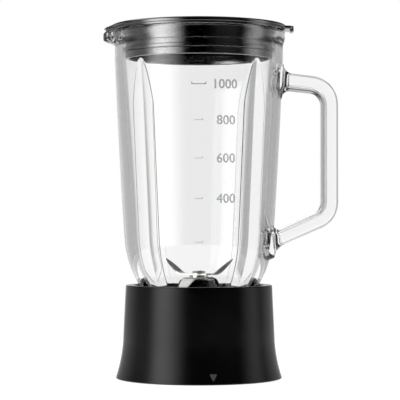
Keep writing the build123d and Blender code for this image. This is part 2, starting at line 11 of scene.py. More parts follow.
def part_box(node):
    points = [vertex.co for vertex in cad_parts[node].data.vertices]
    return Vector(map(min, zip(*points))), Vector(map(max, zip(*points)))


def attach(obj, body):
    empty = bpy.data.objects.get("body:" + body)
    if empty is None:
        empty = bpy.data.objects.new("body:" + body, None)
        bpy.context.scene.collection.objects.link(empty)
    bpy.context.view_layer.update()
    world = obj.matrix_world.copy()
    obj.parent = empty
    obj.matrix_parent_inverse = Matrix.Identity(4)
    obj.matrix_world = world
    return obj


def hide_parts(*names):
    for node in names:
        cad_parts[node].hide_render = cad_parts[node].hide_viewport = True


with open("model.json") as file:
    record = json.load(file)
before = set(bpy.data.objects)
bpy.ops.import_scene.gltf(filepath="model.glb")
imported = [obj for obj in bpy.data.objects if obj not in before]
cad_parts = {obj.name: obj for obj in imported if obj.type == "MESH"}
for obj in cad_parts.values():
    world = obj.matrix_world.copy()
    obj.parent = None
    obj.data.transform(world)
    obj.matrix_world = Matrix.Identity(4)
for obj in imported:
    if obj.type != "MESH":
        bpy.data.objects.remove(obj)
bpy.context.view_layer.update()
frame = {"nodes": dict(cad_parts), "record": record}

MM = 0.001
AROUND = 288          # steps round a turned piece

# ---- sizes, read from the frame ------------------------------------------------------------------


def top_of(node):
    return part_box(node)[1].z / MM


def bottom_of(node):
    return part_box(node)[0].z / MM


def radius_of(node):
    """Largest reach of a node across Y, in millimetres."""
    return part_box(node)[1].y / MM


COLLAR_TOP = top_of("collar_shell")
FOOT_R = radius_of("collar_shell")
JUG_BOTTOM = bottom_of("glass_jug")
JUG_TOP = top_of("glass_jug")
RIM_R = radius_of("glass_jug")
SPOUT_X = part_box("glass_jug")[0].x / MM
HANDLE_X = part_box("glass_jug")[1].x / MM
LID_BOTTOM = bottom_of("lid")
CAP_TOP = top_of("filler_cap")
CAP_BOTTOM = bottom_of("filler_cap")

# the glass section, as (radius, height)
WALL = 5.9
NECK_R = 39.5
NECK_TOP = 61.0
BOWL = ((41.1, 64.0), (49.3, 82.0), (52.2, 98.0))
BODY = ((52.2, 98.0), (55.9, 159.0), (58.9, 222.0))
MOUTH_R = 53.9
FRONT = -90.0         # the scale faces -Y
SCALE_MARKS = {200: 95.4, 400: 124.8, 600: 151.8, 800: 177.3, 1000: 201.3}


# ---- outline helpers -----------------------------------------------------------------------------

def arc_through(a, b, c, steps):
    """Points on the circle through three points, from a to c."""
    (ax, ay), (bx, by), (cx, cy) = a, b, c
    d = 2 * (ax * (by - cy) + bx * (cy - ay) + cx * (ay - by))
    a2, b2, c2 = ax * ax + ay * ay, bx * bx + by * by, cx * cx + cy * cy
    ux = (a2 * (by - cy) + b2 * (cy - ay) + c2 * (ay - by)) / d
    uy = (a2 * (cx - bx) + b2 * (ax - cx) + c2 * (bx - ax)) / d
    radius = math.hypot(ax - ux, ay - uy)
    start = math.atan2(ay - uy, ax - ux)
    turn = (math.atan2(cy - uy, cx - ux) - start + math.pi) % (2 * math.pi) - math.pi
    return [
        (ux + radius * math.cos(start + turn * n / steps), uy + radius * math.sin(start + turn * n / steps))
        for n in range(steps + 1)
    ]


def rounded(corners, steps=4, closed=True):
    """A polyline with its corners rounded. A corner is (x, y) or (x, y, radius)."""
    points = []
    count = len(corners)
    for i, corner in enumerate(corners):
        here = Vector(corner[:2])
        radius = corner[2] if len(corner) > 2 else 0.0
        if radius == 0.0 or (not closed and i in (0, count - 1)):
            points.append(tuple(here))
            continue
        back = (Vector(corners[i - 1][:2]) - here).normalized()
        on = (Vector(corners[(i + 1) % count][:2]) - here).normalized()
        half = back.angle(on) / 2
        reach = radius / math.tan(half)
        centre = here + (back + on).normalized() * (radius / math.sin(half))
        start = here + back * reach - centre
        end = here + on * reach - centre
        sweep = start.angle_signed(end)
        for n in range(steps + 1):
            t = -sweep * n / steps
            x = start.x * math.cos(t) - start.y * math.sin(t)
            y = start.x * math.sin(t) + start.y * math.cos(t)
            points.append((centre.x + x, centre.y + y))
    return points


def smoothstep(low, high, value):
    t = min(max((value - low) / (high - low), 0.0), 1.0)
    return t * t * (3 - 2 * t)


def split(points, longest):
    """The same polyline with no piece longer than the given length."""
    out = []
    for a, b in zip(points, points[1:]):
        pieces = max(1, math.ceil(math.dist(a, b) / longest))
        out += [tuple(p + (q - p) * n / pieces for p, q in zip(a, b)) for n in range(pieces)]
    return out + [points[-1]]


# ---- mesh helpers --------------------------------------------------------------------------------

def new_object(name, vertices, faces, sharp_angle=40.0):
    """A piece from vertices in millimetres, smooth except where it bends sharply."""
    mesh = bpy.data.meshes.new(name)
    mesh.from_pydata([(x * MM, y * MM, z * MM) for x, y, z in vertices], [], faces)
    obj = bpy.data.objects.new(name, mesh)
    bpy.context.scene.collection.objects.link(obj)
    tidy_mesh(obj, sharp_angle)
    return obj


def tidy_mesh(obj, sharp_angle=40.0):
    """Outward normals and smooth shading."""
    bm = bmesh.new()
    bm.from_mesh(obj.data)
    bmesh.ops.recalc_face_normals(bm, faces=bm.faces)
    bm.to_mesh(obj.data)
    bm.free()
    obj.data.shade_smooth()
    obj.data.set_sharp_from_angle(angle=math.radians(sharp_angle))


def lathe(name, section, around=AROUND, shape=None, sharp_angle=40.0):
    """Turns a closed section about the axis. Points on the axis become poles.

    shape(r, z, angle) may move the surface in or out at one angle in degrees.
    """
    vertices, rows = [], []
    for r, z in section:
        if r < 1e-6:
            rows.append([len(vertices)])
            vertices.append((0.0, 0.0, z))
            continue
        row = []
        for n in range(around):
            degrees = 360.0 * n / around
            radius = shape(r, z, degrees) if shape else r
            angle = math.radians(degrees)
            row.append(len(vertices))
            vertices.append((radius * math.cos(angle), radius * math.sin(angle), z))
        rows.append(row)
    faces = []
    for low, high in zip(rows, rows[1:] + rows[:1]):
        for n in range(around):
            m = (n + 1) % around
            if len(low) > 1 and len(high) > 1:
                faces.append((low[n], low[m], high[m], high[n]))
            elif len(low) > 1:
                faces.append((low[n], low[m], high[0]))
            elif len(high) > 1:
                faces.append((low[0], high[m], high[n]))
    return new_object(name, vertices, faces, sharp_angle)


def plate(name, outline, bottom, top, edge=0.0, sharp_angle=40.0):
    """A level plate with a rounded top and bottom edge, from its outline in plan."""
    centre = Vector((sum(p[0] for p in outline) / len(outline), sum(p[1] for p in outline) / len(outline)))
    levels = [(bottom, 0.0), (top, 0.0)]
    if edge:
        turns = [math.radians(a) for a in (0, 30, 60, 90)]
        low = [(bottom + edge * (1 - math.sin(t)), edge * (1 - math.cos(t))) for t in reversed(turns)]
        high = [(top - edge * (1 - math.sin(t)), edge * (1 - math.cos(t))) for t in turns]
        levels = low + high
    vertices, faces = [], []
    count = len(outline)
    for z, inset in levels:
        for x, y in outline:
            out = Vector((x, y)) - centre
            p = Vector((x, y)) - out.normalized() * inset
            vertices.append((p.x, p.y, z))
    for level in range(len(levels) - 1):
        a, b = level * count, (level + 1) * count
        faces += [(a + n, a + (n + 1) % count, b + (n + 1) % count, b + n) for n in range(count)]
    faces.append(tuple(range(count)))
    faces.append(tuple(len(vertices) - count + n for n in range(count)))
    return new_object(name, vertices, faces, sharp_angle)


def combine(base, other, operation="UNION", sharp_angle=40.0):
    """One closed mesh from two, without the surfaces that end up inside it."""
    modifier = base.modifiers.new("join", "BOOLEAN")
    modifier.operation = operation
    modifier.solver = "MANIFOLD"
    modifier.object = other
    depsgraph = bpy.context.evaluated_depsgraph_get()
    mesh = bpy.data.meshes.new_from_object(base.evaluated_get(depsgraph))
    base.modifiers.remove(modifier)
    old = base.data
    base.data = mesh
    mesh.name = base.name
    bpy.data.meshes.remove(old)
    bpy.data.objects.remove(other)
    tidy_mesh(base, sharp_angle)
    return base


def finish_piece(obj, body, slot, nodes=(), material=None):
    """Rides a piece on its body and gives it its material."""
    obj.data.materials.clear()
    obj.data.materials.append(material or MATERIALS[slot])
    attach(obj, body)
    if nodes:
        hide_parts(*nodes)
    return obj


# ---- material helpers ----------------------------------------------------------------------------

class Nodes:
    """Short names for building one material's nodes."""

    def __init__(self, name):
        self.material = bpy.data.materials.new(name)
        self.material.use_nodes = True
        self.tree = self.material.node_tree
        self.shader = self.tree.nodes["Principled BSDF"]
        self.place = self.tree.nodes.new("ShaderNodeTexCoord").outputs["Object"]

    def add(self, kind, **settings):
        node = self.tree.nodes.new(kind)
        for key, value in settings.items():
            setattr(node, key, value)
        return node

    def link(self, output, node, socket):
        self.tree.links.new(output, node.inputs[socket])

    def set(self, **values):
        for key, value in values.items():
            self.shader.inputs[key.replace("_", " ")].default_value = value

    def noise(self, scale, detail=4.0, roughness=0.55, stretch=(1, 1, 1)):
        mapping = self.add("ShaderNodeMapping")
        mapping.inputs["Scale"].default_value = stretch
        self.link(self.place, mapping, "Vector")
        node = self.add("ShaderNodeTexNoise")
        node.inputs["Scale"].default_value = scale
        node.inputs["Detail"].default_value = detail
        node.inputs["Roughness"].default_value = roughness
        self.link(mapping.outputs["Vector"], node, "Vector")
        return node.outputs["Fac"]

    def ramp(self, value, low, high, out_low, out_high):
        node = self.add("ShaderNodeMapRange")
        for key, number in (("From Min", low), ("From Max", high), ("To Min", out_low), ("To Max", out_high)):
            node.inputs[key].default_value = number
        self.link(value, node, "Value")
        return node.outputs["Result"]

    def colours(self, value, dark, light):
        node = self.add("ShaderNodeValToRGB")
        node.color_ramp.elements[0].position = 0.3
        node.color_ramp.elements[1].position = 0.7
        node.color_ramp.elements[0].color = (*dark, 1)
        node.color_ramp.elements[1].color = (*light, 1)
        self.link(value, node, "Fac")
        return node.outputs["Color"]

    def bump(self, value, height_mm, strength=1.0):
        node = self.add("ShaderNodeBump")
        node.inputs["Strength"].default_value = strength
        node.inputs["Distance"].default_value = height_mm * MM
        self.link(value, node, "Height")
        self.link(node.outputs["Normal"], self.shader, "Normal")


# painted shade: the grey that the glass colour turns to at grazing angles, standing in for the dark outlines
# of the glass
GLASS_PAINTED_EDGE_SHADE = (0.25, 0.26, 0.26)


def glass_material(name, tint, roughness, ripple_mm):
    """Pressed glass: clear, with the faint ripple of the mould, and painted shade that turns its colour grey
    where a surface is seen edge on.
    """
    n = Nodes(name)
    n.set(Transmission_Weight=1.0, IOR=1.5)
    # painted edge shade: the colour darkens towards grey as the surface turns edge on
    facing = n.add("ShaderNodeLayerWeight").outputs["Facing"]
    edge = n.ramp(facing, 0.72, 0.99, 0.0, 1.0)
    mix = n.add("ShaderNodeMix", data_type="RGBA")
    n.link(edge, mix, "Factor")
    mix.inputs["A"].default_value = (*tint, 1)
    mix.inputs["B"].default_value = (*GLASS_PAINTED_EDGE_SHADE, 1)
    n.link(mix.outputs["Result"], n.shader, "Base Color")
    n.link(n.ramp(n.noise(60.0), 0.3, 0.7, roughness, roughness * 1.6 + 0.002), n.shader, "Roughness")
    n.bump(n.noise(28.0, detail=1.0, stretch=(1, 1, 0.45)), ripple_mm)
    return n.material


def plastic_material(name, dark, light, rough, grain, grain_mm, specular=0.5, ior=1.5):
    """Moulded plastic with a fine grain and slight variation in gloss."""
    n = Nodes(name)
    n.link(n.colours(n.noise(35.0), dark, light), n.shader, "Base Color")
    n.link(n.ramp(n.noise(90.0, detail=6.0), 0.3, 0.7, *rough), n.shader, "Roughness")
    n.set(Specular_IOR_Level=specular, IOR=ior)
    n.bump(n.noise(grain, detail=3.0), grain_mm)
    return n.material


def metal_material(name, dark, light, rough, stretch, scale, depth_mm):
    """Bare metal with the lines of its grinding or turning."""
    n = Nodes(name)
    lines = n.noise(scale, detail=5.0, roughness=0.6, stretch=stretch)
    n.link(n.colours(n.noise(80.0), dark, light), n.shader, "Base Color")
    n.link(n.ramp(lines, 0.3, 0.7, *rough), n.shader, "Roughness")
    n.set(Metallic=1.0)
    n.bump(lines, depth_mm)
    return n.material


def bronze_material():
    """Oil-filled sintered bronze: open pores, darker in the pits."""
    n = Nodes("sintered_bronze")
    pores = n.noise(2600.0, detail=6.0, roughness=0.7)
    n.link(n.colours(pores, (0.20, 0.11, 0.05), (0.48, 0.30, 0.14)), n.shader, "Base Color")
    n.link(n.ramp(pores, 0.3, 0.7, 0.55, 0.32), n.shader, "Roughness")
    n.set(Metallic=1.0)
    n.bump(pores, 0.03)
    return n.material


MATERIALS = {
    "jug_glass": glass_material("jug_glass", (0.985, 0.99, 0.985), 0.0, 0.02),
    "gloss_black": plastic_material(
        "gloss_black", (0.0015, 0.0015, 0.0015), (0.003, 0.003, 0.003), (0.07, 0.11), 500.0, 0.0015,
        specular=1.0, ior=1.9
    ),
    "matte_black": plastic_material(
        "matte_black", (0.0010, 0.0010, 0.0010), (0.002, 0.002, 0.002), (0.20, 0.25), 2200.0, 0.005,
        specular=0.32
    ),
    "black_nylon": plastic_material(
        "black_nylon", (0.003, 0.003, 0.003), (0.006, 0.006, 0.006), (0.14, 0.20), 1500.0, 0.008, specular=0.7
    ),
    "seal_rubber": plastic_material(
        "seal_rubber", (0.006, 0.006, 0.006), (0.011, 0.011, 0.011), (0.35, 0.5), 900.0, 0.02, specular=0.3
    ),
    "coupling_rubber": plastic_material(
        "coupling_rubber", (0.014, 0.014, 0.014), (0.026, 0.026, 0.026), (0.6, 0.75), 1200.0, 0.04
    ),
    "stainless_steel": metal_material(
        "stainless_steel", (0.62, 0.60, 0.58), (0.80, 0.78, 0.76), (0.14, 0.26), (1, 12, 1), 260.0, 0.004
    ),
    "zinc_steel": metal_material(
        "zinc_steel", (0.55, 0.56, 0.58), (0.70, 0.71, 0.72), (0.2, 0.34), (1, 1, 4), 400.0, 0.006
    ),
    "insert_brass": metal_material(
        "insert_brass", (0.62, 0.44, 0.18), (0.74, 0.55, 0.26), (0.18, 0.3), (1, 1, 14), 300.0, 0.006
    ),
    "sintered_bronze": bronze_material(),
}


# ---- glass jug -----------------------------------------------------------------------------------

RIB_AZIMUTHS = (45.0, 135.0, 225.0, 315.0)
RIB_HEIGHT = 1.75
RIB_TOP = 219.5
RIB_HALF_SPAN = 11.0       # degrees, half way up
RIB_SPREAD = 0.012         # degrees that the half-span grows with each millimetre further down
RIB_STEP = 0.60            # the small step at the foot of each flank
RIB_STEP_SHARE = 0.07      # its width, as a share of the half-span
RIB_CREST = 0.05           # the rounded crest, likewise
RIB_REACH = 16.0           # degrees on each side where the mesh follows the rib
LUG_AZIMUTHS = (90.0, 210.0, 330.0)
LUG_HALF_SPAN = 12.0
LUG_HEIGHT = 3.2
SPOUT_AZIMUTH = 180.0
SPOUT_HALF_SPAN = 21.0


def turn_from(degrees, other):
    """Unsigned angle between two directions."""
    return abs((degrees - other + 180) % 360 - 180)


def inner(point):
    return (point[0] - WALL, point[1])


WALL_CURVE = arc_through(*BOWL, 60) + arc_through(*BODY, 200)


def wall_radius(z):
    """Outer radius of the glass bowl and body at a height."""
    return min(WALL_CURVE, key=lambda p: abs(p[1] - z))[0]


def glass_outside():
    """Outer side of the section, from the neck's foot to the rim's crown."""
    neck = [(NECK_R - 1.5, JUG_BOTTOM)]
    neck += [(NECK_R - 1.5 * (1 - math.sin(a)), JUG_BOTTOM + 1.5 * (1 - math.cos(a)))
             for a in [math.radians(t) for t in (25, 50, 75, 90)]]
    rise = split([(NECK_R, JUG_BOTTOM + 1.6), (NECK_R, 48.6), (NECK_R, 49.0), (NECK_R, 53.0),
                  (NECK_R, 53.4), (NECK_R, NECK_TOP - 2.0)], 1.2)
    blend = arc_through((NECK_R, NECK_TOP - 2.0), (NECK_R + 0.35, NECK_TOP + 0.6), BOWL[0], 5)
    bowl = arc_through(*BOWL, 24)
    body = arc_through(*BODY, 56)
    heights = [224.0, 227.0, 229.0] + [231.0 + n * 0.5 for n in range(14)]
    swell = [(BODY[2][0] + (RIM_R - BODY[2][0]) * smoothstep(231.0, 237.4, z), z) for z in heights]
    crown = rounded(
        [(RIM_R, 238.2), (RIM_R, JUG_TOP, 1.9), (MOUTH_R, JUG_TOP, 1.9), (MOUTH_R, JUG_TOP - 3.0)],
        closed=False
    )
    return neck + rise + blend[1:-1] + bowl + body[1:] + swell + crown


def glass_inside():
    """Inner side of the section, from the mouth down to the neck's foot."""
    mouth = split([(MOUTH_R, JUG_TOP - 4.0), (MOUTH_R, 222.0)], 1.4)
    body = arc_through((MOUTH_R, 222.0), inner(BODY[1]), inner(BODY[0]), 62)
    bowl = arc_through(inner(BOWL[2]), inner(BOWL[1]), inner(BOWL[0]), 24)
    neck = rounded(
        [
            inner(BOWL[0]), (NECK_R - WALL, NECK_TOP, 2.0), (NECK_R - WALL, JUG_BOTTOM, 1.2),
            (NECK_R - 1.5, JUG_BOTTOM)
        ],
        closed=False,
    )
    return mouth + body[1:] + bowl[1:] + split(neck, 2.5)[1:-1]


def rib_point(z):
    """1 along the rib, falling to 0 at its pointed top."""
    return min(1.0, math.sqrt(max(0.0, RIB_TOP - z) / 30.0))


def rib_half_span(z):
    """Half of a rib's width at a height, in degrees."""
    return (RIB_HALF_SPAN + (150.0 - z) * RIB_SPREAD) * rib_point(z)


def rib_lift(z, degrees):
    """How far a rib stands in from the inner wall: a small step, a flat flank, a rounded crest."""
    if z >= RIB_TOP:
        return 0.0
    run = smoothstep(64.0, 80.0, z)
    for azimuth in RIB_AZIMUTHS:
        t = 1.0 - turn_from(degrees, azimuth) / rib_half_span(z)
        if t > 0:
            flank = t if t < 1 - RIB_CREST else 1 - RIB_CREST / 2 - (1 - t) ** 2 / (2 * RIB_CREST)
            step = RIB_STEP * smoothstep(0.0, RIB_STEP_SHARE, t)
            return run * rib_point(z) * (step + (RIB_HEIGHT - RIB_STEP) * flank)
    return 0.0


def wall_lines():
    """Mesh lines up the wall, as (rib azimuth, share) beside the ribs and (None, degrees) between them.

    The lines beside a rib follow its edges, so that the small step stays clean.
    """
    shares = [0.0, 0.02, 0.04, 0.06, 0.1, 0.2, 0.3, 0.4, 0.5, 0.6, 0.7, 0.8, 0.87, 0.91]
    shares += [1 - RIB_STEP_SHARE * n / 5 for n in range(5, -1, -1)] + [1 + n / 8 for n in range(1, 9)]
    lines = []
    gap = 360.0 / len(RIB_AZIMUTHS) - 2 * RIB_REACH
    steps = round(gap / 1.2)
    for azimuth in RIB_AZIMUTHS:
        lines += [(azimuth, share) for share in sorted({-share for share in shares} | set(shares))]
        lines += [(None, azimuth + RIB_REACH + gap * n / steps) for n in range(1, steps)]
    return lines


def bearing_of(line, z):
    """Direction of a mesh line at a height, in degrees."""
    azimuth, share = line
    if azimuth is None:
        return share
    half = max(rib_half_span(z), 3.0)
    size = abs(share)
    offset = size * half if size <= 1 else half + (size - 1) * (RIB_REACH - half)
    return azimuth + math.copysign(offset, share)


def spout_reach(z, degrees, foot, crest):
    t = turn_from(degrees, SPOUT_AZIMUTH) / SPOUT_HALF_SPAN
    if t >= 1:
        return 0.0
    lobe = ((math.cos(math.pi * t) + 1) / 2) ** 1.3
    return (-SPOUT_X - RIM_R) * lobe * smoothstep(foot, crest, z)


def lug_lift(z, degrees):
    rise = smoothstep(48.6, 49.0, z) * smoothstep(53.4, 53.0, z)
    if rise == 0:
        return 0.0
    return LUG_HEIGHT * rise * max(
        smoothstep(LUG_HALF_SPAN, LUG_HALF_SPAN - 0.8, turn_from(degrees, a)) for a in LUG_AZIMUTHS
    )


def make_glass_wall():
    outside = glass_outside()
    inside = glass_inside()

    def outer_shape(r, z, degrees):
        return r + lug_lift(z, degrees) + spout_reach(z, degrees, 232.0, 235.8)

    def inner_shape(r, z, degrees):
        return r - rib_lift(z, degrees) + spout_reach(z, degrees, 231.0, 240.5)

    half = len(outside)
    section = outside + inside
    lines = wall_lines()
    count = len(lines)
    vertices = []
    for index, (r, z) in enumerate(section):
        shape = outer_shape if index < half else inner_shape
        for line in lines:
            degrees = bearing_of(line, z)
            radius = shape(r, z, degrees)
            angle = math.radians(degrees)
            vertices.append((radius * math.cos(angle), radius * math.sin(angle), z))
    faces = []
    rows = len(section)
    for row in range(rows):
        a, b = row * count, (row + 1) % rows * count
        for n in range(count):
            m = (n + 1) % count
            faces.append((a + n, a + m, b + m, b + n))
    return new_object("glass_jug_wall", vertices, faces, 60.0)


# handle outline in its own plane: (x, z, corner radius); both sides have the same corners
HANDLE_OUTER = ((53.0, 213.9), (HANDLE_X, 208.2, 20.0), (HANDLE_X, 109.7, 20.0), (48.5, 88.4))
HANDLE_INNER = ((53.0, 201.4), (85.1, 198.1, 9.0), (85.1, 117.4, 9.0), (48.5, 100.3))
HANDLE_DEPTH = 11.8
BAR_HALF = 10.0
BAR_DEPTH = 9.3
HANDLE_RIB_HALF = 4.8
FOOT_FILLET = 6.0


def handle_section():
    """Half T section as (depth from the inner face, half-width), with its outline closed by the mirror."""
    step = HANDLE_DEPTH - BAR_DEPTH
    side = [
        (0.0, 0.0), (0.0, HANDLE_RIB_HALF, 1.5), (step, HANDLE_RIB_HALF + 0.2, 0.7),
        (step, BAR_HALF, 1.9), (HANDLE_DEPTH, BAR_HALF, 3.6), (HANDLE_DEPTH, 0.0),
    ]
    right = rounded(side, steps=6, closed=False)
    return right + [(u, -v) for u, v in reversed(right[1:-1])]


def sampled(corners, spans, bend_steps=14):
    """Points along one rounded side of the handle, with a fixed count on each run and bend."""
    points = rounded(corners, steps=bend_steps, closed=False)
    runs = [points[0]]
    starts = [1 + bend * (bend_steps + 1) for bend in range(len(corners) - 2)]
    for start, steps in zip(starts + [len(points) - 1], spans):
        last, first = runs[-1], points[start]
        runs += [tuple(a + (b - a) * n / steps for a, b in zip(last, first)) for n in range(1, steps)]
        runs += points[start:start + bend_steps + 1]
    return runs


def make_glass_handle():
    """The handle, swept between its two outlines, with a fillet where it grows out of the wall."""
    spans = (48, 30, 60)
    outer_side = sampled(HANDLE_OUTER, spans)
    inner_side = sampled(HANDLE_INNER, spans)
    section = handle_section()
    vertices = []
    for outer, inner_point in zip(outer_side, inner_side):
        out, near = Vector(outer), Vector(inner_point)
        centre = (out + near) / 2
        along = (out - near).normalized()
        depth = (out - near).length
        clear = centre.x - wall_radius(centre.y)
        reach = min(max(clear, 0.0), FOOT_FILLET)
        grow = FOOT_FILLET - math.sqrt(FOOT_FILLET ** 2 - (FOOT_FILLET - reach) ** 2)
        for u, v in section:
            share = u / HANDLE_DEPTH
            spot = near + along * (share * depth + (2 * share - 1) * grow)
            vertices.append((spot.x, v * (1 + grow / BAR_HALF), spot.y))
    count = len(section)
    stations = len(outer_side)
    faces = [tuple(range(count)), tuple((stations - 1) * count + n for n in range(count))]
    for s in range(stations - 1):
        a, b = s * count, (s + 1) * count
        faces += [(a + n, a + (n + 1) % count, b + (n + 1) % count, b + n) for n in range(count)]
    return new_object("glass_handle", vertices, faces, 60.0)


def make_glass_jug():
    jug = combine(make_glass_wall(), make_glass_handle(), sharp_angle=60.0)
    jug.name = "ribbed_glass_jug"
    finish_piece(jug, "jug", "jug_glass", ["glass_jug"])


make_glass_jug()


# ---- scale on the glass --------------------------------------------------------------------------

def wrap_on_glass(obj, across, z, lift):
    """Bends a flat mesh, drawn in X and Y about its own origin, round the front of the jug."""
    for vertex in obj.data.vertices:
        height = z + vertex.co.y / MM
        radius = wall_radius(height) + lift + vertex.co.z / MM
        angle = math.radians(FRONT) + (across + vertex.co.x / MM) / wall_radius(height)
        vertex.co = Vector((radius * math.cos(angle), radius * math.sin(angle), height)) * MM


SCALE_RELIEF = 0.22
NUMBER_HEIGHT = 6.4
NUMBER_MIDDLE = 18.5
STROKE_EDGE = 0.12


def number_mesh(text):
    """Relief digits with bevelled edges, centred on their width and height."""
    curve = bpy.data.curves.new("digits", "FONT")
    curve.body = text
    curve.size = NUMBER_HEIGHT * 1.37 * MM
    curve.extrude = (SCALE_RELIEF / 2 - STROKE_EDGE / 2) * MM
    curve.bevel_depth = STROKE_EDGE * MM
    curve.bevel_resolution = 1
    curve.space_character = 1.02
    curve.resolution_u = 4
    holder = bpy.data.objects.new("digits", curve)
    bpy.context.scene.collection.objects.link(holder)
    bpy.context.view_layer.update()
    mesh = bpy.data.meshes.new_from_object(holder.evaluated_get(bpy.context.evaluated_depsgraph_get()))
    bpy.data.objects.remove(holder)
    for axis in (0, 1):
        places = [vertex.co[axis] for vertex in mesh.vertices]
        middle = (min(places) + max(places)) / 2
        for vertex in mesh.vertices:
            vertex.co[axis] -= middle
    return mesh


def make_scale():
    # painted shade: ticks and digits are clear relief tinted grey, darkest on the longest tick, in place of
    # the dark lines that refraction draws at their edges
    digit_painted_shade = glass_material("scale_digits_painted_shade", (0.52, 0.52, 0.52), 0.05, 0.01)
    tick_painted_faint_shade = glass_material("scale_tick_painted_faint_shade", (0.45, 0.45, 0.45), 0.05, 0.01)
    tick_painted_deep_shade = glass_material("scale_tick_painted_deep_shade", (0.10, 0.10, 0.10), 0.05, 0.01)
    for amount, z in SCALE_MARKS.items():
        longest = amount == max(SCALE_MARKS)
        half, thick, hook = (4.9, 0.42, 1.3) if longest else (2.7, 0.3, 1.2)
        left_hook = hook if longest else thick
        corners = [
            (-half, -thick, 0.1), (half, -thick, 0.1), (half, hook, 0.1),
            (half - thick, hook, 0.1), (half - thick, 0.0),
            (thick - half, 0.0), (thick - half, left_hook, 0.1), (-half, left_hook, 0.1),
        ]
        tick = plate(f"scale_tick_{amount}", rounded(corners, 3), -SCALE_RELIEF / 2, SCALE_RELIEF / 2)
        wrap_on_glass(tick, 0.0, z, SCALE_RELIEF / 2 + 0.02)
        finish_piece(tick, "jug", "jug_glass", material=tick_painted_deep_shade if longest else tick_painted_faint_shade)
        if amount == 200:
            continue
        digits = bpy.data.objects.new(f"scale_number_{amount}", number_mesh(str(amount)))
        bpy.context.scene.collection.objects.link(digits)
        wrap_on_glass(digits, NUMBER_MIDDLE, z, SCALE_RELIEF / 2 + 0.02)
        finish_piece(digits, "jug", "jug_glass", material=digit_painted_shade)


make_scale()


# ---- lid and filler cap --------------------------------------------------------------------------

LID_R = 61.6
LID_EDGE_BOTTOM = 242.0
LID_TOP = 246.0
SPOUT_COVER_X = 66.5


def lid_outline(r, z, degrees):
    """The flange reaches out over the pouring spout, and slopes down to it."""
    t = turn_from(degrees, SPOUT_AZIMUTH) / SPOUT_HALF_SPAN
    if r < 57.0 or z < LID_EDGE_BOTTOM - 0.1 or t >= 1:
        return r
    lobe = (math.cos(math.pi * t) + 1) / 2
    return r + (SPOUT_COVER_X - LID_R) * lobe * smoothstep(57.0, 60.0, r) * smoothstep(LID_TOP, 244.0, z)


def make_lid():
    """Flanged cover with a well, a hollow stepped skirt, a thumb tab and a spout cover."""
    section = rounded([
        (22.0, 236.0, 0.4), (24.2, 236.0, 0.5), (24.2, LID_EDGE_BOTTOM, 0.8), (51.0, LID_EDGE_BOTTOM, 1.2),
        (51.0, 235.4, 0.8), (49.1, 234.4, 0.8), (49.1, LID_BOTTOM, 0.7), (51.5, LID_BOTTOM, 0.7),
        (51.5, 226.5, 0.15), (50.5, 226.5), (50.5, 229.5), (51.5, 229.5, 0.15), (51.5, 233.4, 0.25),
        (53.4, 233.4, 0.3), (53.4, LID_EDGE_BOTTOM, 0.3), (LID_R - 1.2, LID_EDGE_BOTTOM),
        (LID_R - 1.2, 243.2),
        (LID_R, 243.2, 0.5), (LID_R, LID_TOP, 1.5),
        (57.4, LID_TOP, 0.9), (55.8, 244.5, 0.8), (22.0, 244.5, 0.5),
    ], steps=5)
    lid = lathe("lid_cover", split(section + section[:1], 6.0)[:-1], shape=lid_outline, sharp_angle=35.0)
    thumb = rounded([(57.0, -13.0), (66.0, -12.0, 5.0), (66.0, 12.0, 5.0), (57.0, 13.0)], 8)
    combine(lid, plate("thumb_tab", thumb, 243.0, 245.2, 0.8), sharp_angle=35.0)
    bead = rounded([(63.6, -7.0, 1.1), (66.1, -7.0, 1.1), (66.1, 7.0, 1.1), (63.6, 7.0, 1.1)], 5)
    combine(lid, plate("thumb_bead", bead, 241.6, 245.6, 0.9), sharp_angle=35.0)
    finish_piece(lid, "lid", "gloss_black", ["lid"])


def make_lid_seal():
    """Moulded ring in the skirt's groove, with a flat sealing face between two small chamfers."""
    section = rounded([
        (50.5, 226.6), (52.2, 226.6, 0.2), (53.4, 227.0, 0.3), (53.4, 229.0, 0.3),
        (52.2, 229.4, 0.2), (50.5, 229.4),
    ], steps=4)
    seal = lathe("lid_seal_ring", section, sharp_angle=35.0)
    finish_piece(seal, "lid", "seal_rubber", ["lid_seal"], material=MATERIALS["gloss_black"])


def make_filler_cap():
    """Measuring cap with a round well and a bar to grip."""
    section = rounded([
        (0.0, 247.2), (15.4, 247.2, 1.0), (17.2, CAP_TOP, 1.0), (27.0, CAP_TOP, 1.3), (27.0, 244.8, 0.5),
        (21.5, 244.8, 0.4), (21.5, 240.0, 0.1), (20.7, 240.0), (20.7, 238.0), (21.5, 238.0, 0.1),
        (21.5, CAP_BOTTOM, 0.7), (19.5, CAP_BOTTOM, 0.7), (19.5, 245.2, 2.0), (0.0, 245.2),
    ], steps=5, closed=False)
    cap = lathe("filler_cap_body", section, around=192, sharp_angle=35.0)
    bar = rounded([(-14.6, -3.0, 2.6), (14.6, -3.0, 2.6), (14.6, 3.0, 2.6), (-14.6, 3.0, 2.6)], 6)
    combine(cap, plate("filler_cap_bar", bar, 246.6, CAP_TOP, 0.6), sharp_angle=35.0)
    finish_piece(cap, "cap", "gloss_black", ["filler_cap"])


make_lid()
make_lid_seal()
make_filler_cap()


# ---- drive collar --------------------------------------------------------------------------------

COLLAR_FLARE = ((58.0, 0.6), (54.9, 12.0), (52.9, 26.0))
COLLAR_RIM_R = 51.1
COLLAR_RING_R = 45.5


